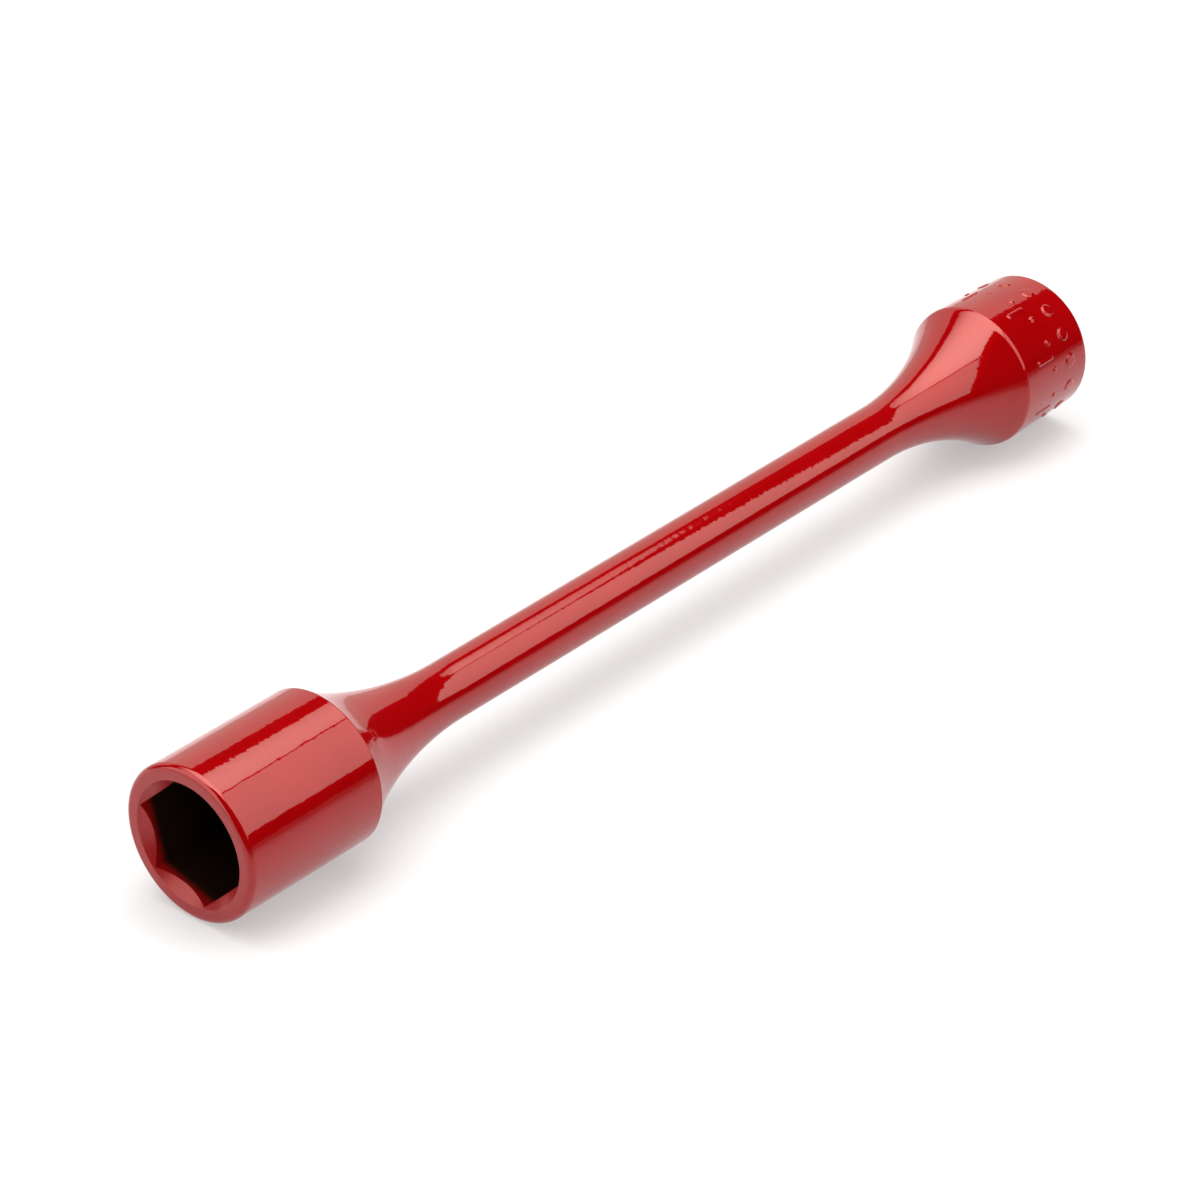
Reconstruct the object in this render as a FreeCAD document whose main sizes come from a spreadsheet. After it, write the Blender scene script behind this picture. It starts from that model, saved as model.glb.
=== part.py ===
"""Torque-limiting socket extension ("torque stick"), lying on its side.

A hex socket for a nut at the -X end and a female square drive at the +X end are joined by a
slender spring-steel bar, which winds up when the rated torque is reached. Each head is a ring
welded round its whole edge to the flared end of the bar, and a short turned pilot on the bar
centres it. Millimetres; +X from the socket's mouth to the drive end, +Z up, and the origin is
the middle of the footprint, on the surface that the tool lies on.
"""
import FreeCAD, Part
import os
from math import acos, atan2, cos, hypot, pi, radians, sin

import Sketcher

V = FreeCAD.Vector

DIMENSIONS = {
    # whole tool, measured along its axis from the mouth of the socket
    "overall_length": 203.2,
    "head_diameter": 25.4,
    # hex socket
    "socket_length": 27.4,
    "mouth_round": 1.0,
    "socket_rear_round": 0.25,
    "hex_flats": 17.5,
    "hex_depth": 17.0,
    "hex_clock": 15.8,
    "mouth_countersink": 20.6,
    "relief_bore": 15.0,
    "relief_depth": 19.5,
    "relief_cone_height": 2.7,
    # torsion bar and its two flares
    "bar_diameter": 9.55,
    "socket_flare_end": 55.4,
    "socket_flare_sweep": 57.0,
    "socket_shoulder_sweep": 32.0,
    "socket_flare_diameter": 25.1,
    "drive_flare_start": 160.0,
    "drive_flare_sweep": 47.5,
    "drive_lip_sweep": 2.5,
    "drive_flare_diameter": 24.8,
    # pilots that centre the heads on the bar
    "socket_pilot_diameter": 12.0,
    "socket_pilot_length": 3.0,
    "drive_pilot_diameter": 12.5,
    "drive_pilot_length": 1.0,
    "pilot_clearance": 0.1,
    # square drive
    "drive_length": 17.1,
    "drive_end_diameter": 24.0,
    "drive_end_round": 1.0,
    "square_size": 12.7,
    "square_corner": 0.8,
    "square_countersink": 18.4,
    "detent_diameter": 14.4,
    "detent_width": 4.0,
    "detent_from_end": 7.9,
    # raised index marks round the drive head; each row starts at its own angle from +Z
    "mark_height": 0.2,
    "mark_root": 2.0,
    "bar_marks": 8,
    "bar_marks_start": 22.5,
    "bar_mark_length": 4.2,
    "bar_mark_width": 0.9,
    "bar_marks_from_end": 11.6,
    "dot_marks": 16,
    "dot_marks_start": 11.25,
    "large_dot_diameter": 2.2,
    "large_dots_from_end": 5.2,
    "small_dot_diameter": 1.2,
    "small_dots_from_end": 9.6,
}

doc = FreeCAD.newDocument("torque_extension")
sheet = doc.addObject("Spreadsheet::Sheet", "Dims")
for row, (alias, number) in enumerate(DIMENSIONS.items(), start=1):
    sheet.set(f"A{row}", alias)
    sheet.set(f"B{row}", str(number))
    sheet.setAlias(f"B{row}", alias)
doc.recompute()


def dim(alias):
    """A driving dimension's value, for the first guess that a sketch's solver starts from."""
    return float(sheet.get(alias))


# ---------------------------------------------------------------- bodies, sketches, features


def new_body(name):
    """A body in tool coordinates, moved as a whole so that the tool lies on Z = 0."""
    body = doc.addObject("PartDesign::Body", name)
    body.Label = name
    body.setExpression(".Placement.Base.x", "-Dims.overall_length / 2")
    body.setExpression(".Placement.Base.z", "Dims.head_diameter / 2")
    return body


def origin_feature(body, role):
    return next(item for item in body.Origin.OriginFeatures if item.Role == role)


def new_sketch(body, name, plane):
    sketch = body.newObject("Sketcher::SketchObject", name)
    sketch.AttachmentSupport = [(origin_feature(body, plane), "")]
    sketch.MapMode = "FlatFace"
    return sketch


def drive(sketch, name, constraint, expression):
    """Add one dimension to a sketch and bind it to the sheet."""
    sketch.renameConstraint(sketch.addConstraint(constraint), name)
    sketch.setExpression("Constraints." + name, expression)


def place(sketch, name, edge, end, x_size=None, y_size=None):
    """Fix how far an edge's end lies from the sketch's origin, along X, along Y or both."""
    if x_size:
        distance = Sketcher.Constraint("DistanceX", -1, 1, edge, end, end_point(sketch, edge, end).x)
        drive(sketch, name + "_x", distance, x_size)
    if y_size:
        distance = Sketcher.Constraint("DistanceY", -1, 1, edge, end, end_point(sketch, edge, end).y)
        drive(sketch, name + "_y", distance, y_size)


def end_point(sketch, edge, end):
    return sketch.getPoint(edge, end)


def line(start, end):
    return Part.LineSegment(V(*start, 0), V(*end, 0))


def polygon(sketch, corners):
    """A closed outline of straight lines, joined at its corners; level and upright ones stay so."""
    count = len(corners)
    for i, corner in enumerate(corners):
        following = corners[(i + 1) % count]
        edge = sketch.addGeometry(line(corner, following), False)
        if corner[1] == following[1]:
            sketch.addConstraint(Sketcher.Constraint("Horizontal", edge))
        elif corner[0] == following[0]:
            sketch.addConstraint(Sketcher.Constraint("Vertical", edge))
    for i in range(count):
        sketch.addConstraint(Sketcher.Constraint("Coincident", i, 2, (i + 1) % count, 1))


def turn(body, name, kind, sketch):
    """Turn a sketch once round the tool's axis, to add metal or to cut it away."""
    feature = body.newObject("PartDesign::" + kind, name)
    feature.Profile = sketch
    feature.ReferenceAxis = (sketch, ["H_Axis"])
    feature.Angle = 360
    return feature


def broach(body, name, sketch, length):
    """Cut a sketch on the YZ plane straight into the metal towards +X."""
    feature = body.newObject("PartDesign::Pocket", name)
    feature.Profile = sketch
    feature.Reversed = True
    feature.setExpression("Length", length)
    return feature


def round_edges(body, name, picked, radius):
    """Round the edges of the body's newest feature that the function picked accepts."""
    base = body.Tip
    edges = [f"Edge{i}" for i, edge in enumerate(base.Shape.Edges, start=1) if picked(edge)]
    feature = body.newObject("PartDesign::Fillet", name)
    feature.Base = (base, edges)
    feature.setExpression("Radius", radius)
    return feature


def must_cut(feature, volume_before):
    """Stop if a cut has missed the metal."""
    if not feature.Shape.Volume < volume_before - 1:
        raise RuntimeError(feature.Name + " removed nothing")


def is_circle_at(edge, x, radius):
    """Whether an edge is a full circle round the tool's axis, of this radius, at this x."""
    curve = edge.Curve
    return (
        isinstance(curve, Part.Circle)
        and abs(curve.Radius - radius) < 0.01
        and abs(curve.Center.x - x) < 0.01
        and hypot(curve.Center.y, curve.Center.z) < 0.01
    )


# ---------------------------------------------------------------- hex socket head


def make_socket_head():
    body = new_body("socket_head")
    length, radius = dim("socket_length"), dim("head_diameter") / 2
    mouth, bore = dim("mouth_countersink") / 2, dim("relief_bore") / 2
    depth, cone = dim("relief_depth"), dim("relief_cone_height")
    pilot = (dim("socket_pilot_diameter") + dim("pilot_clearance")) / 2
    pilot_floor = length - dim("socket_pilot_length") - dim("pilot_clearance")

    blank = new_sketch(body, "socket_blank", "XY_Plane")
    polygon(blank, [
        (0, mouth),                      # 0: mouth face
        (0, radius),                     # 1: outside
        (length, radius),                # 2: rear face
        (length, pilot),                 # 3: pilot's wall
        (pilot_floor, pilot),            # 4: pilot's floor
        (pilot_floor, 0),                # 5: axis, through the metal between the two bores
        (depth + cone, 0),               # 6: drill point
        (depth, bore),                   # 7: relief bore
        (mouth - bore, bore),            # 8: countersink
    ])
    place(blank, "mouth", 0, 1, "0", "Dims.mouth_countersink / 2")
    place(blank, "outside", 1, 2, "Dims.socket_length", "Dims.head_diameter / 2")
    place(blank, "pilot", 3, 2,
          "Dims.socket_length - Dims.socket_pilot_length - Dims.pilot_clearance",
          "(Dims.socket_pilot_diameter + Dims.pilot_clearance) / 2")
    place(blank, "drill_point", 5, 2, "Dims.relief_depth + Dims.relief_cone_height", "0")
    place(blank, "relief", 7, 1, "Dims.relief_depth", "Dims.relief_bore / 2")
    place(blank, "countersink", 7, 2, "(Dims.mouth_countersink - Dims.relief_bore) / 2")
    turned = turn(body, "turned_socket", "Revolution", blank)
    doc.recompute()

    hexagon = new_sketch(body, "hex_outline", "YZ_Plane")
    circumradius, clock = dim("hex_flats") / 2 / cos(pi / 6), radians(dim("hex_clock"))
    corners = [
        (circumradius * cos(clock + k * pi / 3), circumradius * sin(clock + k * pi / 3))
        for k in range(6)
    ]
    polygon(hexagon, corners)
    circle = hexagon.addGeometry(Part.Circle(V(0, 0, 0), V(0, 0, 1), circumradius), True)
    hexagon.addConstraint(Sketcher.Constraint("Coincident", circle, 3, -1, 1))
    for k in range(6):
        hexagon.addConstraint(Sketcher.Constraint("PointOnObject", k, 1, circle))
        if k:
            hexagon.addConstraint(Sketcher.Constraint("Equal", 0, k))
    drive(hexagon, "corner_circle", Sketcher.Constraint("Radius", circle, circumradius),
          "Dims.hex_flats / 2 / cos(30)")
    spoke = hexagon.addGeometry(line((0, 0), corners[0]), True)
    hexagon.addConstraint(Sketcher.Constraint("Coincident", spoke, 1, -1, 1))
    hexagon.addConstraint(Sketcher.Constraint("Coincident", spoke, 2, 0, 1))
    drive(hexagon, "clock", Sketcher.Constraint("Angle", -1, 1, spoke, 1, clock), "Dims.hex_clock")
    broached = broach(body, "hex_broach", hexagon, "Dims.hex_depth")
    doc.recompute()
    must_cut(broached, turned.Shape.Volume)

    round_edges(body, "mouth_rounding", lambda e: is_circle_at(e, 0, radius), "Dims.mouth_round")
    doc.recompute()
    round_edges(body, "rear_rounding", lambda e: is_circle_at(e, length, radius),
                "Dims.socket_rear_round")
    return body


# ---------------------------------------------------------------- torsion bar


def second_centre(centre, radius, end, end_radius, apart):
    """Centre of the arc of end_radius that touches the arc round centre and stops at end.

    apart is the distance between the two centres: the difference of the radii where the bend
    keeps its direction, and their sum where it turns the other way. Of the two such arcs, the
    one that touches nearer to the bar is meant.
    """
    across = (end[0] - centre[0], end[1] - centre[1])
    reach = hypot(*across)
    bearing = atan2(across[1], across[0])
    swing = acos((apart ** 2 + reach ** 2 - end_radius ** 2) / (2 * apart * reach))
    choices = [
        (centre[0] + apart * cos(bearing + s * swing), centre[1] + apart * sin(bearing + s * swing))
        for s in (1, -1)
    ]
    return min(choices, key=lambda choice: choice[1])


def add_arc(sketch, centre, radius, start, end):
    """An arc round centre, drawn anticlockwise from the point start to the point end."""
    angles = [atan2(p[1] - centre[1], p[0] - centre[0]) % (2 * pi) for p in (start, end)]
    circle = Part.Circle(V(*centre, 0), V(0, 0, 1), radius)
    return sketch.addGeometry(Part.ArcOfCircle(circle, *angles), False)


def towards(centre, through, radius):
    """The point at radius from centre, on the ray that passes through the second point."""
    step = radius / hypot(through[0] - centre[0], through[1] - centre[1])
    return tuple(c + (t - c) * step for c, t in zip(centre, through))


def make_torsion_bar():
    body = new_body("torsion_bar")
    bar = dim("bar_diameter") / 2
    face_1, face_2 = dim("socket_length"), dim("overall_length") - dim("drive_length")
    pilot_1, pilot_2 = dim("socket_pilot_diameter") / 2, dim("drive_pilot_diameter") / 2
    tip_1, tip_2 = face_1 - dim("socket_pilot_length"), face_2 + dim("drive_pilot_length")

    # first guess of the two flares: each is a long sweep off the bar, then a tighter one
    rim_1, rim_2 = (face_1, dim("socket_flare_diameter") / 2), (face_2, dim("drive_flare_diameter") / 2)
    foot_1, foot_2 = (dim("socket_flare_end"), bar), (dim("drive_flare_start"), bar)
    sweep_1, shoulder = dim("socket_flare_sweep"), dim("socket_shoulder_sweep")
    sweep_2, lip = dim("drive_flare_sweep"), dim("drive_lip_sweep")
    centre_1, centre_2 = (foot_1[0], bar + sweep_1), (foot_2[0], bar + sweep_2)
    shoulder_centre = second_centre(centre_1, sweep_1, rim_1, shoulder, sweep_1 - shoulder)
    lip_centre = second_centre(centre_2, sweep_2, rim_2, lip, sweep_2 + lip)
    bend_1 = towards(centre_1, shoulder_centre, sweep_1)
    bend_2 = towards(centre_2, lip_centre, sweep_2)

    outline = new_sketch(body, "bar_outline", "XY_Plane")
    edges = {
        "axis": outline.addGeometry(line((tip_2, 0), (tip_1, 0)), False),
        "tip_1": outline.addGeometry(line((tip_1, 0), (tip_1, pilot_1)), False),
        "pilot_1": outline.addGeometry(line((tip_1, pilot_1), (face_1, pilot_1)), False),
        "face_1": outline.addGeometry(line((face_1, pilot_1), rim_1), False),
        "shoulder": add_arc(outline, shoulder_centre, shoulder, rim_1, bend_1),
        "sweep_1": add_arc(outline, centre_1, sweep_1, bend_1, foot_1),
        "bar": outline.addGeometry(line(foot_1, foot_2), False),
        "sweep_2": add_arc(outline, centre_2, sweep_2, foot_2, bend_2),
        "lip": add_arc(outline, lip_centre, lip, rim_2, bend_2),
        "face_2": outline.addGeometry(line(rim_2, (face_2, pilot_2)), False),
        "pilot_2": outline.addGeometry(line((face_2, pilot_2), (tip_2, pilot_2)), False),
        "tip_2": outline.addGeometry(line((tip_2, pilot_2), (tip_2, 0)), False),
    }
    joined = [
        ("axis", 2, "tip_1", 1), ("tip_1", 2, "pilot_1", 1), ("pilot_1", 2, "face_1", 1),
        ("face_1", 2, "shoulder", 1), ("lip", 1, "face_2", 1), ("face_2", 2, "pilot_2", 1),
        ("pilot_2", 2, "tip_2", 1), ("tip_2", 2, "axis", 1),
    ]
    for first, first_end, second, second_end in joined:
        outline.addConstraint(Sketcher.Constraint(
            "Coincident", edges[first], first_end, edges[second], second_end))
    smooth = [("shoulder", 2, "sweep_1", 1), ("sweep_1", 2, "bar", 1),
              ("bar", 2, "sweep_2", 1), ("sweep_2", 2, "lip", 2)]
    for first, first_end, second, second_end in smooth:
        outline.addConstraint(Sketcher.Constraint(
            "Tangent", edges[first], first_end, edges[second], second_end))
    for name in ("axis", "pilot_1", "bar", "pilot_2"):
        outline.addConstraint(Sketcher.Constraint("Horizontal", edges[name]))
    for name in ("tip_1", "face_1", "face_2", "tip_2"):
        outline.addConstraint(Sketcher.Constraint("Vertical", edges[name]))
    for name, radius, alias in (
        ("shoulder", shoulder, "socket_shoulder_sweep"), ("sweep_1", sweep_1, "socket_flare_sweep"),
        ("sweep_2", sweep_2, "drive_flare_sweep"), ("lip", lip, "drive_lip_sweep"),
    ):
        drive(outline, name + "_radius", Sketcher.Constraint("Radius", edges[name], radius),
              "Dims." + alias)
    place(outline, "tip_1", edges["tip_1"], 1, "Dims.socket_length - Dims.socket_pilot_length", "0")
    place(outline, "pilot_1", edges["pilot_1"], 2, "Dims.socket_length",
          "Dims.socket_pilot_diameter / 2")
    place(outline, "rim_1", edges["face_1"], 2, None, "Dims.socket_flare_diameter / 2")
    place(outline, "foot_1", edges["bar"], 1, "Dims.socket_flare_end", "Dims.bar_diameter / 2")
    place(outline, "foot_2", edges["bar"], 2, "Dims.drive_flare_start")
    place(outline, "rim_2", edges["face_2"], 1, "Dims.overall_length - Dims.drive_length",
          "Dims.drive_flare_diameter / 2")
    place(outline, "pilot_2", edges["pilot_2"], 2,
          "Dims.overall_length - Dims.drive_length + Dims.drive_pilot_length",
          "Dims.drive_pilot_diameter / 2")
    turn(body, "turned_bar", "Revolution", outline)
    return body


# ---------------------------------------------------------------- square drive head


def make_drive_head():
    body = new_body("drive_head")
    end, length = dim("overall_length"), dim("drive_length")
    near, far = dim("drive_flare_diameter") / 2, dim("drive_end_diameter") / 2
    half = dim("square_size") / 2

    blank = new_sketch(body, "drive_blank", "XY_Plane")
    polygon(blank, [(end - length, 0), (end - length, near), (end, far), (end, 0)])
    place(blank, "weld_face", 0, 2, "Dims.overall_length - Dims.drive_length",
          "Dims.drive_flare_diameter / 2")
    place(blank, "drive_face", 2, 1, "Dims.overall_length", "Dims.drive_end_diameter / 2")
    place(blank, "axis", 3, 1, None, "0")
    turned = turn(body, "turned_drive", "Revolution", blank)
    doc.recompute()
    round_edges(body, "drive_end_rounding", lambda e: is_circle_at(e, end, far),
                "Dims.drive_end_round")
    add_raised_marks(body)
    doc.recompute()

    square = new_sketch(body, "square_outline", "YZ_Plane")
    square.setExpression(".AttachmentOffset.Base.z", "Dims.overall_length - Dims.drive_length")
    polygon(square, [(-half, -half), (half, -half), (half, half), (-half, half)])
    place(square, "low", 0, 1, "-Dims.square_size / 2", "-Dims.square_size / 2")
    place(square, "high", 2, 1, "Dims.square_size / 2", "Dims.square_size / 2")
    broached = broach(body, "square_broach", square, "Dims.drive_length")
    doc.recompute()
    must_cut(broached, turned.Shape.Volume)
    round_edges(
        body, "square_corners",
        lambda e: isinstance(e.Curve, Part.Line) and abs(e.Length - length) < 0.01,
        "Dims.square_corner")
    doc.recompute()

    groove = new_sketch(body, "detent_outline", "XY_Plane")
    middle, width = end - dim("detent_from_end"), dim("detent_width")
    inside, wall = half - 1, dim("detent_diameter") / 2
    low, high = middle - width / 2, middle + width / 2
    polygon(groove, [(low, inside), (high, inside), (high, wall), (low, wall)])
    place(groove, "low", 0, 1,
          "Dims.overall_length - Dims.detent_from_end - Dims.detent_width / 2",
          "Dims.square_size / 2 - 1")
    place(groove, "high", 2, 1,
          "Dims.overall_length - Dims.detent_from_end + Dims.detent_width / 2",
          "Dims.detent_diameter / 2")
    before = body.Tip.Shape.Volume
    cut = turn(body, "detent_groove", "Groove", groove)
    doc.recompute()
    must_cut(cut, before)

    bevel = new_sketch(body, "countersink_outline", "XY_Plane")
    mouth = dim("square_countersink") / 2
    polygon(bevel, [(end, inside), (end, mouth), (end - mouth + inside, inside)])
    place(bevel, "face", 0, 1, "Dims.overall_length", "Dims.square_size / 2 - 1")
    place(bevel, "mouth", 0, 2, None, "Dims.square_countersink / 2")
    place(bevel, "depth", 2, 1,
          "Dims.overall_length - Dims.square_countersink / 2 + Dims.square_size / 2 - 1")
    before = body.Tip.Shape.Volume
    cut = turn(body, "square_countersink", "Groove", bevel)
    doc.recompute()
    must_cut(cut, before)
    return body


def add_raised_marks(body):
    """Rows of plain raised marks round the drive head: short bars, and round dots of two sizes.

    The rows start off the vertical, so that the tool lies on its edge and not on a mark.
    """
    bar = body.newObject("PartDesign::AdditiveBox", "bar_mark")
    bar.setExpression("Length", "Dims.bar_mark_length")
    bar.setExpression("Width", "Dims.bar_mark_width")
    place_mark(bar, "Dims.bar_marks_from_end", "Dims.bar_marks_start",
               "Dims.bar_mark_length / 2", "Dims.bar_mark_width / 2")
    repeat_round_axis(body, "bar_marks", bar, "Dims.bar_marks")

    for size in ("large", "small"):
        dot = body.newObject("PartDesign::AdditiveCylinder", size + "_dot")
        dot.setExpression("Radius", f"Dims.{size}_dot_diameter / 2")
        place_mark(dot, f"Dims.{size}_dots_from_end", "Dims.dot_marks_start")
        repeat_round_axis(body, size + "_dots", dot, "Dims.dot_marks")


def place_mark(mark, from_end, turned, half_length="0", half_width="0"):
    """Stand a mark on the head's side, rooted in the metal, and turned about the tool's axis.

    The side slopes slightly, so the mark's top follows the side's radius at the mark's middle.
    """
    slope = "(Dims.drive_flare_diameter - Dims.drive_end_diameter) / 2 / Dims.drive_length"
    root = "(Dims.drive_end_diameter / 2 - Dims.mark_root)"
    mark.Placement = FreeCAD.Placement(V(0, 0, 0), FreeCAD.Rotation(V(1, 0, 0), 1))
    for path, size in (
        ("Height", f"Dims.mark_root + Dims.mark_height + {slope} * {from_end}"),
        (".Placement.Rotation.Angle", turned),
        (".Placement.Base.x", f"Dims.overall_length - {from_end} - {half_length}"),
        (".Placement.Base.y", f"-{root} * sin({turned}) - {half_width} * cos({turned})"),
        (".Placement.Base.z", f"{root} * cos({turned}) - {half_width} * sin({turned})"),
    ):
        mark.setExpression(path, size)


def repeat_round_axis(body, name, feature, count):
    doc.recompute()
    row = body.newObject("PartDesign::PolarPattern", name)
    row.Originals = [feature]
    row.Axis = (origin_feature(body, "X_Axis"), [""])
    row.Angle = 360
    row.setExpression("Occurrences", count)
    body.Tip = row


# ---------------------------------------------------------------- check and export

pieces = [make_socket_head(), make_torsion_bar(), make_drive_head()]
doc.recompute()

for item in doc.Objects:
    if "Invalid" in item.State or "Error" in item.State:
        raise RuntimeError(f"{item.Name} failed: {item.State}")

os.makedirs("parts", exist_ok=True)
for piece in pieces:
    shape = piece.Shape
    if shape.isNull() or not shape.isValid() or len(shape.Solids) != 1:
        raise RuntimeError(piece.Label + " is not one valid solid")
    shape.exportStep(f"parts/{piece.Label}.step")
    box = shape.optimalBoundingBox()
    print(f"{piece.Label}: {shape.Volume:.0f} mm3, "
          f"x {box.XMin:.2f}..{box.XMax:.2f}, y {box.YMin:.2f}..{box.YMax:.2f}, "
          f"z {box.ZMin:.2f}..{box.ZMax:.2f}")
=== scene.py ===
"""Looks for the torque-limiting socket extension: enamelled steel on a pale studio table."""

from math import acos, atan2, ceil, cos, hypot, pi, radians, sin, sqrt, tan

import bpy
from mathutils import Matrix, Vector


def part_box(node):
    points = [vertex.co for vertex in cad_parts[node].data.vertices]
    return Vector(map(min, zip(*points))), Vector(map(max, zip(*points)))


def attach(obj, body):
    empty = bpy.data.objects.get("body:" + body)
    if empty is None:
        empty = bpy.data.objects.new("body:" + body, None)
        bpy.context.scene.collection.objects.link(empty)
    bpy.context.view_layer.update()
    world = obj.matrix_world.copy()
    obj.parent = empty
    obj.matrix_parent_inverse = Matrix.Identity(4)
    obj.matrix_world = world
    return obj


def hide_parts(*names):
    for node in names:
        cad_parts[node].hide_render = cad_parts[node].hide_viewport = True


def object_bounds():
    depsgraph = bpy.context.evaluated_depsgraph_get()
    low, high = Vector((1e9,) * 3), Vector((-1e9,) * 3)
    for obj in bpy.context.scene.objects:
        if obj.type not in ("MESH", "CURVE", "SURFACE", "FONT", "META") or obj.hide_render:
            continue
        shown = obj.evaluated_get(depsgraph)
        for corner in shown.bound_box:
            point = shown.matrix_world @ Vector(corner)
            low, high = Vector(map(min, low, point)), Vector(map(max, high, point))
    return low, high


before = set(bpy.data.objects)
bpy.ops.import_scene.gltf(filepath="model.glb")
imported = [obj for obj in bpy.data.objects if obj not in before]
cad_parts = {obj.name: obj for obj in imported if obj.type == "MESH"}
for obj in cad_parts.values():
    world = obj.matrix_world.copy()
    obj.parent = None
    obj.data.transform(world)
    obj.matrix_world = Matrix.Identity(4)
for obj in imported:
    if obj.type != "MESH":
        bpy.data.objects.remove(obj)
cad_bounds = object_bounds()

MM = 0.001

# ------------------------------------------------------------------ sizes, in millimetres
# x runs along the tool from the socket's mouth, r is the distance from its axis


def node_span(node):
    """A CAD node's first and last x along the tool, and its largest radius, in millimetres."""
    low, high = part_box(node)
    return (low[0] - MOUTH_X) / MM, (high[0] - MOUTH_X) / MM, (high[1] - low[1]) / 2 / MM


MOUTH_X = cad_bounds[0][0]
LENGTH = (cad_bounds[1][0] - cad_bounds[0][0]) / MM
SOCKET_END, HEAD_R = node_span("socket_head")[1:]
BAR_TIP_1, BAR_TIP_2 = node_span("torsion_bar")[:2]
DRIVE_START = node_span("drive_head")[0]
AXIS_Z = HEAD_R * MM

HEX_HALF = 8.75
HEX_CORNER_ROUND = 0.35
HEX_CLOCK = radians(15.8)
HEX_DEPTH = 17.0
MOUTH_R, MOUTH_EDGE_ROUND = 10.3, 0.12
RELIEF_R, RELIEF_DEPTH, RELIEF_TIP = 7.5, 19.5, 22.2
MOUTH_ROUND, REAR_ROUND = 1.0, 0.25
BORE_ROUND, COUNTERSINK_ROUND, STEP_ROUND, RELIEF_ROUND = 0.2, 0.1, 0.15, 0.3

BAR_R = 4.775
FLARE_1_END, FLARE_1_SWEEP, FLARE_1_SHOULDER, FLARE_1_R = 55.4, 57.0, 32.0, 12.55
FLARE_2_START, FLARE_2_SWEEP, FLARE_2_LIP, FLARE_2_R = 160.0, 47.5, 2.5, 12.4
PILOT_1_R, PILOT_2_R = 6.0, 6.25
PILOT_GAP, PILOT_BORE_DEPTH = 0.05, 3.1
PILOT_ROUND, PILOT_FILLET = 0.3, 0.1

DRIVE_END_R, DRIVE_END_ROUND = 12.0, 1.0
SQUARE_HALF, SQUARE_CORNER_ROUND = 6.35, 0.8
SQUARE_MOUTH_R, SQUARE_MOUTH_ROUND, SQUARE_BEVEL_ROUND = 9.2, 0.1, 0.01
# the least the countersink and the detent groove may cut, so that each keeps its rows
LEAST_BEVEL, LEAST_GROOVE = 0.02, 0.001
DETENT_R, DETENT_FROM_END, DETENT_WIDTH = 7.2, 7.9, 4.0

MARK_HEIGHT, MARK_SOFT = 0.18, 0.22
BAR_MARKS, BAR_START, BAR_FROM_END, BAR_MARK_HALF, BAR_MARK_R = 8, radians(22.5), 11.6, 1.7, 0.32
DOT_MARKS, DOT_START = 16, radians(11.25)
LARGE_DOT_FROM_END, LARGE_DOT_R = 5.2, 1.05
SMALL_DOT_FROM_END, SMALL_DOT_R = 9.6, 0.45

TURN_STEPS = 240
DRIVE_STEPS, DRIVE_SIDE_ROWS, SIDE_LEAD = 640, 104, 0.05
ARC_STEP = 0.25
# where a rounded corner gets its extra angles, as shares of its half angle
CORNER_SHARES = (-1.3, -1, -0.66, -0.33, 0, 0.33, 0.66, 1, 1.3)
SHARP_EDGE = radians(38)

# ------------------------------------------------------------------ profiles of turned parts


def rounded(corners, steps=8):
    """A profile through corners of (x, r, rounding), each rounding an arc of this many steps."""
    points = []
    for i, (x, r, radius) in enumerate(corners):
        here = Vector((x, r))
        if radius == 0 or i in (0, len(corners) - 1):
            points.append(here)
            continue
        before = (Vector(corners[i - 1][:2]) - here).normalized()
        after = (Vector(corners[i + 1][:2]) - here).normalized()
        half = before.angle(after) / 2
        reach, middle = radius / tan(half), (before + after).normalized() * (radius / sin(half))
        start, end = here + before * reach, here + after * reach
        centre = here + middle
        turn = pi - 2 * half
        side = 1 if (start - centre).cross(end - centre) > 0 else -1
        for k in range(steps + 1):
            spoke = (start - centre).copy()
            spoke.rotate(Matrix.Rotation(side * turn * k / steps, 2))
            points.append(centre + spoke)
    return points


def divisions(points, longest=4.0, hold=0.12):
    """Where each run of a profile is divided: evenly when long, and close to both its ends."""
    fractions = []
    for a, b in zip(points, points[1:]):
        run = (b - a).length
        if run > 4 * hold:
            parts = ceil((run - 2 * hold) / longest)
            inner = [(hold + (run - 2 * hold) * k / parts) / run for k in range(parts + 1)]
        else:
            inner = []
        fractions.append([0, *inner])
    return fractions


def divided(points, fractions):
    """A profile with extra points in its runs."""
    result = [a.lerp(b, f) for a, b, inside in zip(points, points[1:], fractions) for f in inside]
    return result + [points[-1]]


def arc_points(centre, radius, start, end):
    """Points on an arc round centre, from one angle to another, about ARC_STEP apart."""
    count = max(2, ceil(abs(end - start) * radius / ARC_STEP))
    angles = [start + (end - start) * k / count for k in range(count + 1)]
    return [Vector((centre[0] + radius * cos(a), centre[1] + radius * sin(a))) for a in angles]


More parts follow.
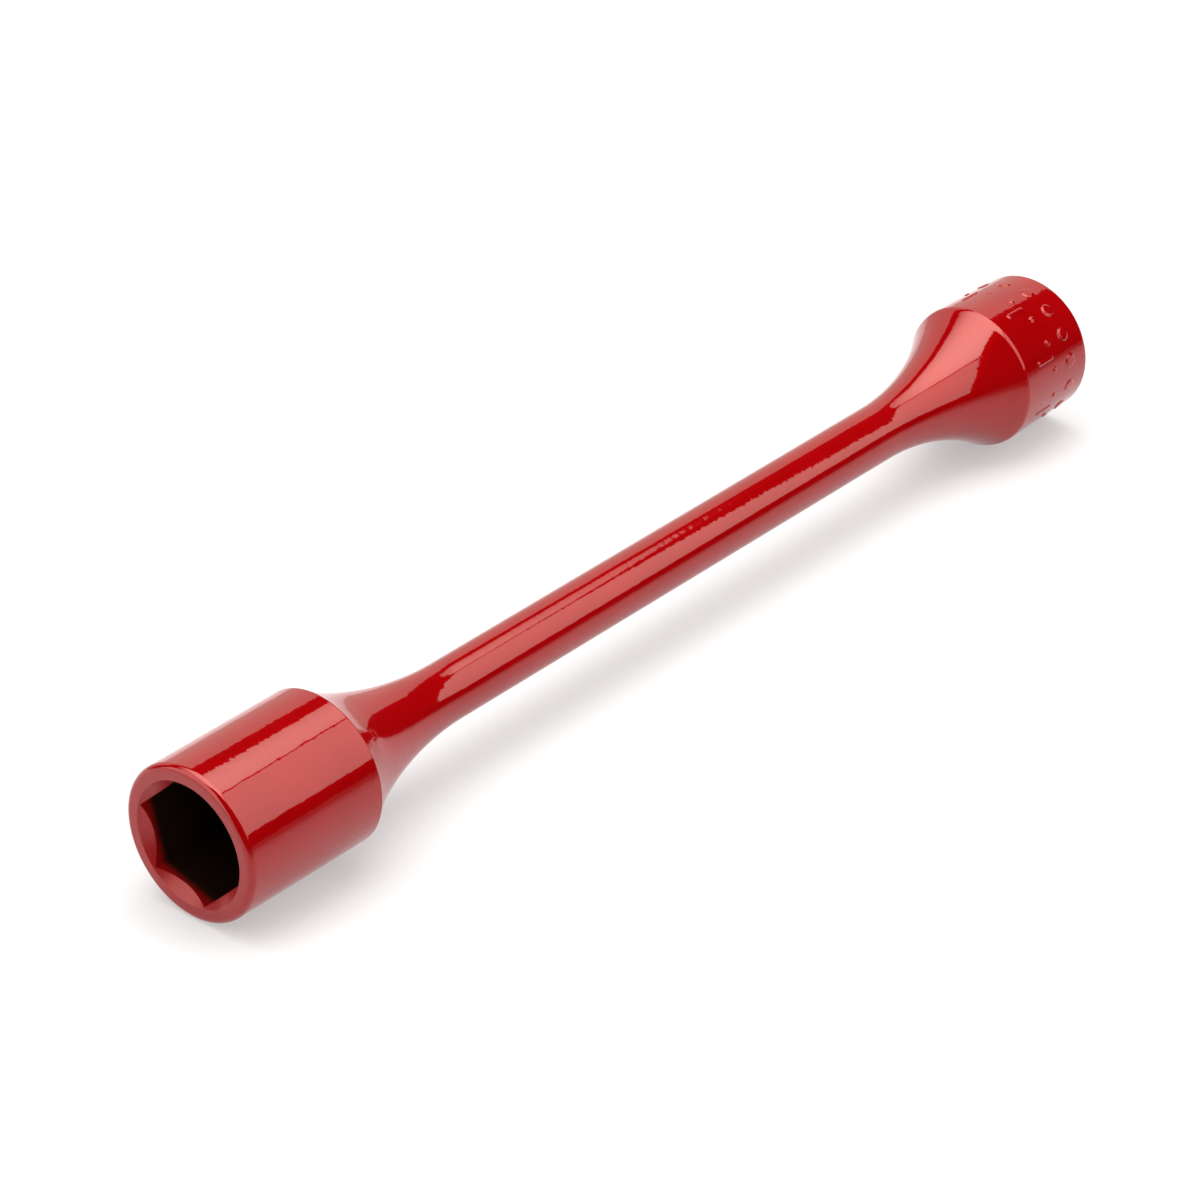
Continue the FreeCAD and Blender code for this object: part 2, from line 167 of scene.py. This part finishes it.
def flare(foot_x, sweep, rim, second, opposite):
    """A flare's two arcs, from its foot on the bar to its rim (x, r).

    The first arc, of radius sweep, leaves the bar smoothly. The second runs on from it to the rim,
    bending the same way, or the opposite way for a rounded lip.
    """
    centre = Vector((foot_x, BAR_R + sweep))
    apart = sweep + second if opposite else sweep - second
    across = Vector(rim) - centre
    reach = across.length
    swing = acos((apart ** 2 + reach ** 2 - second ** 2) / (2 * apart * reach))
    bearing = atan2(across.y, across.x)
    choices = [centre + apart * Vector((cos(bearing + s), sin(bearing + s))) for s in (swing, -swing)]
    inner = min(choices, key=lambda c: c.y)
    touch = atan2(inner.y - centre.y, inner.x - centre.x)
    points = arc_points(centre, sweep, -pi / 2, touch)
    from_inner = touch + pi if opposite else touch
    to_rim = atan2(rim[1] - inner.y, rim[0] - inner.x)
    to_rim = from_inner + (to_rim - from_inner + pi) % (2 * pi) - pi
    return points + arc_points(inner, second, from_inner, to_rim)[1:]


# ------------------------------------------------------------------ lathe


def new_object(name, verts, faces):
    mesh = bpy.data.meshes.new(name)
    mesh.from_pydata(verts, [], faces)
    piece = bpy.data.objects.new(name, mesh)
    bpy.context.scene.collection.objects.link(piece)
    return piece


def lathe(name, angles, profile_at):
    """A closed skin round the tool's axis; profile_at(angle) gives its (x, r) points there.

    Each angle's profile has the same number of points. A point with r = 0 is one vertex, on the
    axis. The profile is followed with the outside of the metal on its left.
    """
    profiles = [profile_at(a) for a in angles]
    fractions = divisions(profiles[0])
    profiles = [divided(points, fractions) for points in profiles]
    rows = len(profiles[0])
    verts, index = [], {}
    for j in range(rows):
        on_axis = profiles[0][j][1] < 1e-6
        for i, angle in enumerate(angles):
            if on_axis and i:
                index[i, j] = index[0, j]
                continue
            x, r = profiles[i][j]
            index[i, j] = len(verts)
            verts.append((MOUTH_X + x * MM, r * MM * cos(angle), AXIS_Z + r * MM * sin(angle)))
    faces = []
    count = len(angles)
    for i in range(count):
        for j in range(rows - 1):
            corners = [index[i, j], index[i, j + 1], index[(i + 1) % count, j + 1],
                       index[(i + 1) % count, j]]
            ring = [c for k, c in enumerate(corners) if c != corners[k - 1]]
            if len(ring) > 2:
                faces.append(ring)
    piece = new_object(name, verts, faces)
    piece.data.validate()
    piece.data.shade_smooth()
    piece.data.set_sharp_from_angle(angle=SHARP_EDGE)
    return piece


def even_angles(count):
    return [2 * pi * k / count for k in range(count)]


def corner_arc(sides, half, corner):
    """A prism's angle from corner to corner, its corner arcs' distance out, and their half angle."""
    pitch = 2 * pi / sides
    centre = (half - corner) / cos(pitch / 2)
    return pitch, centre, atan2(corner * sin(pitch / 2), centre + corner * cos(pitch / 2))


def prism_radius(angle, sides, half, corner, clock):
    """Distance from the axis to a regular prism's wall, its corners rounded, at an angle."""
    pitch, centre, limit = corner_arc(sides, half, corner)
    from_corner = (angle - clock + pitch / 2) % pitch - pitch / 2
    if abs(from_corner) < limit:
        aside = centre * sin(from_corner)
        return centre * cos(from_corner) + sqrt(corner ** 2 - aside ** 2)
    return half / cos(pitch / 2 - abs(from_corner))


def corner_angles(count, sides, half, corner, clock):
    """Even angles, with more of them at a prism's rounded corners."""
    pitch, _, limit = corner_arc(sides, half, corner)
    extra = [(clock + k * pitch + limit * f) % (2 * pi)
             for k in range(sides) for f in CORNER_SHARES]
    gap = 2 * pi / count
    even = [a for a in even_angles(count)
            if all(abs((a - e + pi) % (2 * pi) - pi) > gap / 4 for e in extra)]
    return sorted(even + extra)


# ------------------------------------------------------------------ the three pieces


def make_socket_head():
    """The hex socket: rounded mouth, scalloped countersink, hexagon, relief bore and rear face."""

    def profile_at(angle):
        wall = prism_radius(angle, 6, HEX_HALF, HEX_CORNER_ROUND, HEX_CLOCK)
        corners = [
            (SOCKET_END - PILOT_BORE_DEPTH, 0, 0),
            (SOCKET_END - PILOT_BORE_DEPTH, PILOT_1_R + PILOT_GAP, BORE_ROUND),
            (SOCKET_END, PILOT_1_R + PILOT_GAP, BORE_ROUND),
            (SOCKET_END, HEAD_R, REAR_ROUND),
            (0, HEAD_R, MOUTH_ROUND),
            (0, MOUTH_R, MOUTH_EDGE_ROUND),
            (MOUTH_R - wall, wall, COUNTERSINK_ROUND),
            (HEX_DEPTH, wall, STEP_ROUND),
            (HEX_DEPTH, RELIEF_R, STEP_ROUND),
            (RELIEF_DEPTH, RELIEF_R, RELIEF_ROUND),
            (RELIEF_TIP, 0, 0),
        ]
        return rounded(corners, 6)

    angles = corner_angles(TURN_STEPS, 6, HEX_HALF, HEX_CORNER_ROUND, HEX_CLOCK)
    return lathe("socket_head_forging", angles, profile_at)


def make_torsion_bar():
    """The bar with its two flares and the pilots inside the heads."""
    first = flare(-FLARE_1_END, FLARE_1_SWEEP, (-SOCKET_END, FLARE_1_R), FLARE_1_SHOULDER, False)
    first = [Vector((-p.x, p.y)) for p in first]
    second = flare(FLARE_2_START, FLARE_2_SWEEP, (DRIVE_START, FLARE_2_R), FLARE_2_LIP, True)
    front = rounded([(BAR_TIP_1, 0, 0), (BAR_TIP_1, PILOT_1_R, PILOT_ROUND),
                     (SOCKET_END, PILOT_1_R, PILOT_FILLET), (SOCKET_END, FLARE_1_R, 0)])
    back = rounded([(DRIVE_START, FLARE_2_R, 0), (DRIVE_START, PILOT_2_R, PILOT_FILLET),
                    (BAR_TIP_2, PILOT_2_R, PILOT_ROUND), (BAR_TIP_2, 0, 0)])
    profile = front[:-1] + first[::-1] + second + back[1:]
    points = profile[::-1]
    return lathe("torsion_bar_turning", even_angles(TURN_STEPS), lambda angle: points)


def off_row(angle, r, start, count):
    """How far round the side an angle lies from the nearest of a row's evenly spaced marks."""
    pitch = 2 * pi / count
    return ((angle - pi / 2 - start + pitch / 2) % pitch - pitch / 2) * r


def mark_height(x, angle, r):
    """How far the raised index marks stand above the drive head's side."""
    from_end = LENGTH - x
    dot_off = off_row(angle, r, DOT_START, DOT_MARKS)
    bar_off = off_row(angle, r, BAR_START, BAR_MARKS)
    large = hypot(from_end - LARGE_DOT_FROM_END, dot_off) - LARGE_DOT_R
    small = hypot(from_end - SMALL_DOT_FROM_END, dot_off) - SMALL_DOT_R
    along = max(abs(from_end - BAR_FROM_END) - BAR_MARK_HALF, 0)
    bar = hypot(along, bar_off) - BAR_MARK_R
    inside = min(max(0.5 - min(large, small, bar) / MARK_SOFT, 0), 1)
    return MARK_HEIGHT * inside * inside * (3 - 2 * inside)


def make_drive_head():
    """The square drive head, with raised marks in its side."""
    side_end = LENGTH - DRIVE_END_ROUND
    near, far = Vector((DRIVE_START, FLARE_2_R)), Vector((side_end, DRIVE_END_R))
    side = [near.lerp(far, k / DRIVE_SIDE_ROWS) for k in range(DRIVE_SIDE_ROWS + 1)]
    detent_1 = LENGTH - DETENT_FROM_END - DETENT_WIDTH / 2
    detent_2 = LENGTH - DETENT_FROM_END + DETENT_WIDTH / 2

    def profile_at(angle):
        wall = prism_radius(angle, 4, SQUARE_HALF, SQUARE_CORNER_ROUND, pi / 4)
        groove = max(DETENT_R, wall + LEAST_GROOVE)
        bevel = max(SQUARE_MOUTH_R - wall, LEAST_BEVEL)
        rest = rounded([
            (side_end - SIDE_LEAD, DRIVE_END_R, 0),
            (LENGTH, DRIVE_END_R, DRIVE_END_ROUND),
            (LENGTH, max(SQUARE_MOUTH_R, wall + LEAST_BEVEL), SQUARE_MOUTH_ROUND),
            (LENGTH - bevel, wall, SQUARE_BEVEL_ROUND),
            (detent_2, wall, 0),
            (detent_2, groove, 0),
            (detent_1, groove, 0),
            (detent_1, wall, 0),
            (DRIVE_START, wall, 0),
            (DRIVE_START, FLARE_2_R, 0),
        ], 6)
        lifted = [Vector((p.x, p.y + mark_height(p.x, angle, p.y))) for p in side]
        return (lifted + rest[2:])[::-1]  # the first two points only lead in along the side

    return lathe("drive_head_forging", even_angles(DRIVE_STEPS), profile_at)


# ------------------------------------------------------------------ enamel and steel

RED_1, RED_2 = (0.243, 0.0004, 0.0012), (0.268, 0.0006, 0.0018)
RED_THIN = (0.34, 0.004, 0.006)
RED_THICK = (0.19, 0.0003, 0.001)
# near-black, uncoated and partly metallic: the colour inside the hexagon, the square and the bar's
# end, past the overspray
DARK_INSIDE_COLOUR, DARK_INSIDE_METALLIC = (0.024, 0.010, 0.006), 0.6
FLAKE = 0.18
# the mesh's pointiness where the paint starts and ends to be worn or pooled
WORN, POOLED = (0.515, 0.57), (0.485, 0.44)
# where dry overspray gives way to the near-black, uncoated inside, in millimetres from the end, and
# its edge's feather
SOCKET_OVERSPRAY, DRIVE_OVERSPRAY, FEATHER_OUT, FEATHER_IN = (1.3, 3.0), (1.5, 3.5), 0.3, 0.1
# the same for the bar's end in the square recess: beyond its pilot's radius, and past the seam
BAR_END_OUT, BAR_END_IN, BAR_END_DEPTH = 0.6, 0.4, 0.2
# lump sizes of the noises, in metres
WEAR_SIZE, CLOUD_SIZE, SPECK_SIZE, SMEAR_SIZE = 0.0009, 0.012, 0.0006, 0.006
PEEL_SIZE, SAG_SIZE, SAG_SHARE = 0.0012, 0.009, 2.0
CLOUD_RANGE = (0.3, 0.7)
BUMP_STRENGTH, BUMP_DEPTH = 0.15, 0.0001
BASE_ROUGH, BASE_ROUGH_SPREAD = 0.15, 0.10
COAT_ROUGH, COAT_ROUGH_SPREAD, DRY_ROUGH, COAT_IOR = 0.012, 0.05, 0.3, 1.5


class Graph:
    """Short ways to add nodes to one material or world."""

    def __init__(self, tree):
        self.nodes, self.links = tree.nodes, tree.links

    def add(self, kind, *inputs, **settings):
        """A node with its settings, and its inputs given by position: sockets or constants."""
        node = self.nodes.new("ShaderNode" + kind)
        for name, setting in settings.items():
            setattr(node, name, setting)
        for socket, value in zip(node.inputs, inputs):
            self.feed(socket, value)
        return node

    def feed(self, socket, value):
        if isinstance(value, bpy.types.NodeSocket):
            self.links.new(value, socket)
        elif value is not None:
            socket.default_value = value

    def math(self, operation, *inputs):
        return self.add("Math", *inputs, operation=operation).outputs[0]

    def noise(self, place, size, detail=2.0, roughness=0.5):
        """Noise whose lumps are about this many metres across."""
        node = self.add("TexNoise", place)
        for name, value in (("Scale", 1 / size), ("Detail", detail), ("Roughness", roughness)):
            node.inputs[name].default_value = value
        return node.outputs["Fac"]

    def ramp(self, value, start, end):
        """0 below start and 1 above end, eased between them; start may be the larger."""
        node = self.add("MapRange", interpolation_type="SMOOTHSTEP")
        for name, setting in (("Value", value), ("From Min", start), ("From Max", end)):
            self.feed(node.inputs[name], setting)
        return node.outputs["Result"]

    def blend(self, share, first, second):
        node = self.add("Mix", data_type="RGBA")
        self.feed(node.inputs["Factor"], share)
        for socket, colour in zip((s for s in node.inputs if s.type == "RGBA"), (first, second)):
            self.feed(socket, (*colour, 1) if isinstance(colour, tuple) else colour)
        return next(s for s in node.outputs if s.type == "RGBA")


def enamel(name, dry_and_dark):
    """Glossy candy-red enamel over steel.

    It is thin and bright on outer edges and pooled and dark in inner ones. dry_and_dark(graph, x, r)
    says where the paint is a dry overspray and where it gives way to a near-black, uncoated, partly
    metallic surface, from the distance along the tool and from its axis.
    """
    material = bpy.data.materials.new(name)
    material.use_nodes = True
    graph = Graph(material.node_tree)
    shader = graph.nodes["Principled BSDF"]
    place = graph.add("TexCoord").outputs["Object"]
    x, y, z = graph.add("SeparateXYZ", place).outputs
    up = graph.math("SUBTRACT", z, AXIS_Z)
    square = graph.math("ADD", graph.math("MULTIPLY", y, y), graph.math("MULTIPLY", up, up))
    r = graph.math("SQRT", square)
    dry, dark_inside = dry_and_dark(graph, graph.math("SUBTRACT", x, MOUTH_X), r)

    point = graph.add("NewGeometry").outputs["Pointiness"]
    worn = graph.math("MULTIPLY", graph.ramp(point, *WORN), graph.noise(place, WEAR_SIZE, detail=3.0))
    pooled = graph.ramp(point, *POOLED)
    cloud = graph.noise(place, CLOUD_SIZE, detail=4.0, roughness=0.6)
    colour = graph.blend(graph.ramp(cloud, *CLOUD_RANGE), RED_1, RED_2)
    colour = graph.blend(worn, colour, RED_THIN)
    colour = graph.blend(pooled, colour, RED_THICK)
    graph.feed(shader.inputs["Base Color"], graph.blend(dark_inside, colour, DARK_INSIDE_COLOUR))
    metallic = graph.math("MULTIPLY_ADD", dark_inside, DARK_INSIDE_METALLIC - FLAKE, FLAKE)
    graph.feed(shader.inputs["Metallic"], metallic)
    speck = graph.noise(place, SPECK_SIZE)
    rough = graph.math("MULTIPLY_ADD", speck, BASE_ROUGH_SPREAD, BASE_ROUGH)
    graph.feed(shader.inputs["Roughness"], rough)
    shader.inputs["Specular IOR Level"].default_value = 0.0
    graph.feed(shader.inputs["Coat Weight"], graph.math("SUBTRACT", 1.0, dark_inside))
    smear = graph.noise(place, SMEAR_SIZE, detail=5.0, roughness=0.7)
    gloss = graph.math("MULTIPLY_ADD", smear, COAT_ROUGH_SPREAD, COAT_ROUGH)
    graph.feed(shader.inputs["Coat Roughness"], graph.math("MULTIPLY_ADD", dry, DRY_ROUGH, gloss))
    shader.inputs["Coat IOR"].default_value = COAT_IOR

    peel = graph.noise(place, PEEL_SIZE, detail=1.5)
    sag = graph.noise(place, SAG_SIZE, detail=1.0)
    bump = graph.add("Bump")
    bump.inputs["Strength"].default_value = BUMP_STRENGTH
    bump.inputs["Distance"].default_value = BUMP_DEPTH
    graph.feed(bump.inputs["Height"], graph.math("MULTIPLY_ADD", sag, SAG_SHARE, peel))
    graph.feed(shader.inputs["Coat Normal"], bump.outputs["Normal"])
    graph.feed(shader.inputs["Normal"], bump.outputs["Normal"])
    return material


def within(graph, r, edge):
    """1 inside a radius in millimetres and 0 outside it, feathered."""
    return graph.ramp(r, (edge + FEATHER_OUT) * MM, (edge - FEATHER_IN) * MM)


def socket_dry_and_dark(graph, x, r):
    """Dry paint on the countersink, and a near-black, uncoated hexagon just inside it."""
    inside = within(graph, r, MOUTH_R)
    start, end = SOCKET_OVERSPRAY
    return inside, graph.math("MULTIPLY", inside, graph.ramp(x, start * MM, end * MM))


def drive_dry_and_dark(graph, x, r):
    """Dry paint on the countersink, and a near-black, uncoated square just inside it."""
    inside = within(graph, r, SQUARE_MOUTH_R)
    start, end = DRIVE_OVERSPRAY
    deep = graph.ramp(x, (LENGTH - start) * MM, (LENGTH - end) * MM)
    return inside, graph.math("MULTIPLY", inside, deep)


def bar_dry_and_dark(graph, x, r):
    """The end that shows at the bottom of the square recess is near-black and uncoated."""
    inside = graph.ramp(r, (PILOT_2_R + BAR_END_OUT) * MM, (PILOT_2_R + BAR_END_IN) * MM)
    deep = graph.ramp(x, DRIVE_START * MM, (DRIVE_START + BAR_END_DEPTH) * MM)
    dry_and_dark = graph.math("MULTIPLY", inside, deep)
    return dry_and_dark, dry_and_dark


def finish_piece(piece, node, material):
    piece.data.materials.append(material)
    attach(piece, "root")
    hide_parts(node)


# ------------------------------------------------------------------ studio

TABLE_HALF = 4.0
# the table's glow is a painted pool of light round the tool, and its far colour is painted shade for
# all but the camera
TABLE_GLOW, TABLE_NEAR, TABLE_FAR_SHADE = 0.36, (0.39, 0.40, 0.44), (0.05, 0.05, 0.055)
POOL_INNER, POOL_OUTER, TABLE_ROUGH = 0.16, 0.7, 0.7
POOL_FRONT, POOL_FRONT_EDGE = -0.02, -0.17
HORIZON_GLOW = 0.45
ROOM, WALL = (0.008, 0.008, 0.008), (0.86, 0.86, 0.86)
LAMP = (1.0, 0.97, 0.87, 1)
TOP_HEIGHT = 0.9
TOP_OUTLINE = ((0.83, 0.30), (0.815, 0.18), (0.795, 0.05), (0.75, -0.065), (0.0, -0.455),
               (-0.05, -0.352), (-0.10, -0.243), (-0.15, -0.15), (-0.906, 0.302), (-0.278, 1.106),
               (0.142, 0.824), (0.553, 0.478), (0.62, 0.38), (0.765, 0.378))
TOP_EDGE, TOP_MIDDLE, TOP_REACH = 1.8, 5.9, 0.80
SIDE_CORNER = (0.70, -0.121, 0.886)
SIDE_ALONG, SIDE_DOWN = (-0.6425, -0.315, -0.033), (0.077, -0.438, -0.662)
SIDE_OUTLINE = ((0, 0), (0.11, 0.49), (0.08, 1), (0.945, 1), (1.105, 0))
SIDE_SPAN, SIDE_UPPER, SIDE_LOWER = (0.2, 0.6), 2.75, 2.3
BACK_CORNER, BACK_ALONG, BACK_HEIGHT = (0.565, 0.08, 0.0), (-0.791, 0.764, 0.0), 0.39
BACK_UPPER, BACK_LOWER = 1.25, 0.75
LEFT_CORNER, LEFT_ALONG, LEFT_HEIGHT, LEFT_GLOW = (-0.9, -0.1, 0.02), (0.35, 0.9, 0.0), 0.95, 2.5
FILL_CORNER, FILL_ALONG, FILL_HEIGHT, FILL_GLOW = (0.1, -0.95, 0.04), (-0.75, 0.2, 0.0), 0.5, 4.6


def make_table():
    """A pale table of matt acrylic, lit softly from beneath where the tool lies.

    Its glow there is a painted pool of light, and beyond the pool its colour is painted dark, a
    painted shade, for all but the camera. The tool reflects only the lit pool, and the camera sees
    the table pale all over.
    """
    s = TABLE_HALF
    table = new_object("table", [(-s, -s, 0), (s, -s, 0), (s, s, 0), (-s, s, 0)], [(0, 1, 2, 3)])
    table.location.z = cad_bounds[0][2]
    material = bpy.data.materials.new("table_acrylic")
    material.use_nodes = True
    graph = Graph(material.node_tree)
    shader = graph.nodes["Principled BSDF"]
    shader.inputs["Roughness"].default_value = TABLE_ROUGH
    shader.inputs["Emission Color"].default_value = (1, 1, 1, 1)
    place = graph.add("TexCoord").outputs["Object"]
    reach = graph.add("VectorMath", place, operation="LENGTH").outputs["Value"]
    near = graph.ramp(reach, POOL_OUTER, POOL_INNER)
    front = graph.ramp(graph.add("SeparateXYZ", place).outputs["Y"], POOL_FRONT_EDGE, POOL_FRONT)
    seen = graph.add("LightPath").outputs["Is Camera Ray"]
    share = graph.math("MAXIMUM", graph.math("MULTIPLY", near, front), seen)
    # painted shade: beyond the pool the table is dark to every ray but the camera's
    graph.feed(shader.inputs["Base Color"], graph.blend(share, TABLE_FAR_SHADE, TABLE_NEAR))
    far = graph.math("MULTIPLY", graph.math("SUBTRACT", 1.0, near), seen)
    horizon = graph.math("MULTIPLY", far, HORIZON_GLOW)
    glow = graph.math("MULTIPLY_ADD", share, TABLE_GLOW, horizon)
    graph.feed(shader.inputs["Emission Strength"], glow)
    table.data.materials.append(material)


def make_panel(name, verts, radiance):
    """A flat light that the camera does not see, facing the room's middle.

    radiance(graph) is its brightness over it.
    """
    panel = new_object(name, verts, [tuple(range(len(verts)))])
    panel.data.update()
    if panel.data.polygons[0].normal.dot(sum(verts, Vector())) > 0:
        panel.data.flip_normals()
    material = bpy.data.materials.new(name + "_glow")
    material.use_nodes = True
    graph = Graph(material.node_tree)
    graph.nodes.clear()
    front = graph.math("SUBTRACT", 1.0, graph.add("NewGeometry").outputs["Backfacing"])
    glow = graph.add("Emission", LAMP, graph.math("MULTIPLY", front, radiance(graph)))
    graph.links.new(glow.outputs[0], graph.add("OutputMaterial").inputs[0])
    panel.data.materials.append(material)
    panel.visible_camera = False
    panel.visible_shadow = False
    return panel


def outline(corner, along, down, shares=((0, 0), (1, 0), (1, 1), (0, 1))):
    """The corners of a flat panel, each given as shares of its two sides."""
    return [Vector(corner) + a * Vector(along) + d * Vector(down) for a, d in shares]


def upward(low, high, at_low, at_high):
    """Brightness that changes evenly with height."""
    def radiance(graph):
        height = graph.add("SeparateXYZ", graph.add("TexCoord").outputs["Object"]).outputs["Z"]
        node = graph.add("MapRange", height, low, high, at_low, at_high)
        return node.outputs["Result"]
    return radiance


def top_radiance(graph):
    """Brightest in the middle of the softbox, where its lamp is."""
    x, y, _ = graph.add("SeparateXYZ", graph.add("TexCoord").outputs["Object"]).outputs
    square = graph.math("ADD", graph.math("MULTIPLY", x, x), graph.math("MULTIPLY", y, y))
    node = graph.add("MapRange", square, 0.0, TOP_REACH ** 2, TOP_MIDDLE, TOP_EDGE)
    return node.outputs["Result"]


def make_lights():
    top = [Vector((x, y, TOP_HEIGHT)) for x, y in TOP_OUTLINE]
    make_panel("top_softbox", top, top_radiance)
    side = outline(SIDE_CORNER, SIDE_ALONG, SIDE_DOWN, SIDE_OUTLINE)
    make_panel("side_softbox", side, upward(*SIDE_SPAN, SIDE_LOWER, SIDE_UPPER))
    back = outline(BACK_CORNER, BACK_ALONG, (0, 0, BACK_HEIGHT))
    make_panel("backdrop_reflector", back, upward(0.0, BACK_HEIGHT, BACK_LOWER, BACK_UPPER))
    left = outline(LEFT_CORNER, LEFT_ALONG, (0, 0, LEFT_HEIGHT))
    make_panel("left_reflector", left, lambda graph: LEFT_GLOW)
    fill = outline(FILL_CORNER, FILL_ALONG, (0, 0, FILL_HEIGHT))
    make_panel("front_fill", fill, lambda graph: FILL_GLOW).visible_glossy = False


def make_world():
    """A dark room, with a pale wall behind the table for the camera alone."""
    world = bpy.data.worlds.new("studio")
    bpy.context.scene.world = world
    world.use_nodes = True
    graph = Graph(world.node_tree)
    seen = graph.add("LightPath").outputs["Is Camera Ray"]
    graph.feed(graph.nodes["Background"].inputs["Color"], graph.blend(seen, ROOM, WALL))


# ------------------------------------------------------------------ camera

VIEW_AZIMUTH, VIEW_ELEVATION = radians(-49.4), radians(30.96)
VIEW_DISTANCE, VIEW_LENS, VIEW_SENSOR, VIEW_CLIP = 0.7741, 147.0, 36, 0.01
VIEW_AIM = Vector((-0.0021, 0.0076, 0.0054))


def make_camera():
    data = bpy.data.cameras.new("camera")
    data.lens = VIEW_LENS
    data.sensor_width = VIEW_SENSOR
    data.clip_start = VIEW_CLIP
    camera = bpy.data.objects.new("camera", data)
    bpy.context.scene.collection.objects.link(camera)
    forward = Vector((-sin(VIEW_AZIMUTH) * cos(VIEW_ELEVATION),
                      cos(VIEW_AZIMUTH) * cos(VIEW_ELEVATION), -sin(VIEW_ELEVATION)))
    camera.location = VIEW_AIM - forward * VIEW_DISTANCE
    camera.rotation_euler = forward.to_track_quat("-Z", "Y").to_euler()
    bpy.context.scene.camera = camera


# ------------------------------------------------------------------ all together

make_camera()
make_world()
make_table()
make_lights()
finish_piece(make_socket_head(), "socket_head", enamel("head_enamel", socket_dry_and_dark))
finish_piece(make_torsion_bar(), "torsion_bar", enamel("bar_enamel", bar_dry_and_dark))
finish_piece(make_drive_head(), "drive_head", enamel("drive_enamel", drive_dry_and_dark))
bpy.context.scene.view_settings.view_transform = "Standard"
